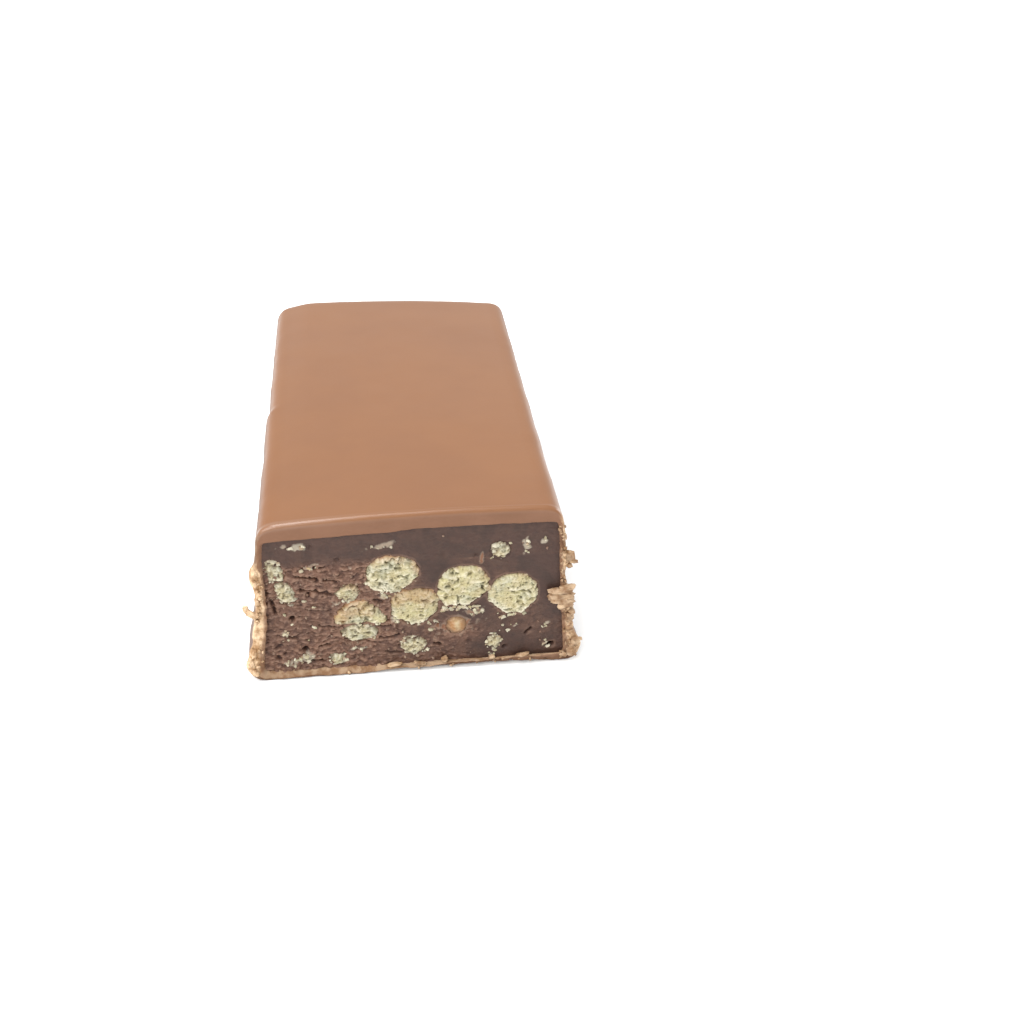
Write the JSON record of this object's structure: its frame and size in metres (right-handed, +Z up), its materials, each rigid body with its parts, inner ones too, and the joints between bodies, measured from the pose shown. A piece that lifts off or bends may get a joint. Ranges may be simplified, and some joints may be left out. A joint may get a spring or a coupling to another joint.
{
  "type": "chocolate coated snack bar",
  "caption": "Half of a milk chocolate coated snack bar, cut across to show a dark chewy filling with puffed cereal crisps.",
  "frame": {"origin": "on the table, under the middle of the bar's bounding box", "axes": "+Z up, +Y along the bar from the cut face to the rounded far end, +X to the right of someone who looks at the cut face"},
  "size_m": [0.034, 0.0553, 0.0187],
  "materials": {
    "milk_chocolate": "satin milk chocolate",
    "dark_filling": "matt, dense and chewy",
    "puffed_crisp": "matt porous puffed cereal",
    "toasted_crisp": "satin toasted cereal skin"
  },
  "bodies": {
    "root": {"coating": "milk_chocolate", "filling": "dark_filling", "crisp_high_middle": "puffed_crisp", "crisp_right_middle": "puffed_crisp", "crisp_far_right": "puffed_crisp", "crisp_centre": "puffed_crisp", "crisp_split": "puffed_crisp", "crisp_upper_left_piece": "puffed_crisp", "crisp_left_edge": "puffed_crisp", "crisp_under_wall": "puffed_crisp", "crisp_high_right": "puffed_crisp", "crisp_toasted": "toasted_crisp", "crisp_low_middle": "puffed_crisp", "crisp_low_right": "puffed_crisp", "crisp_low_left": "puffed_crisp"}
  },
  "joints": []
}
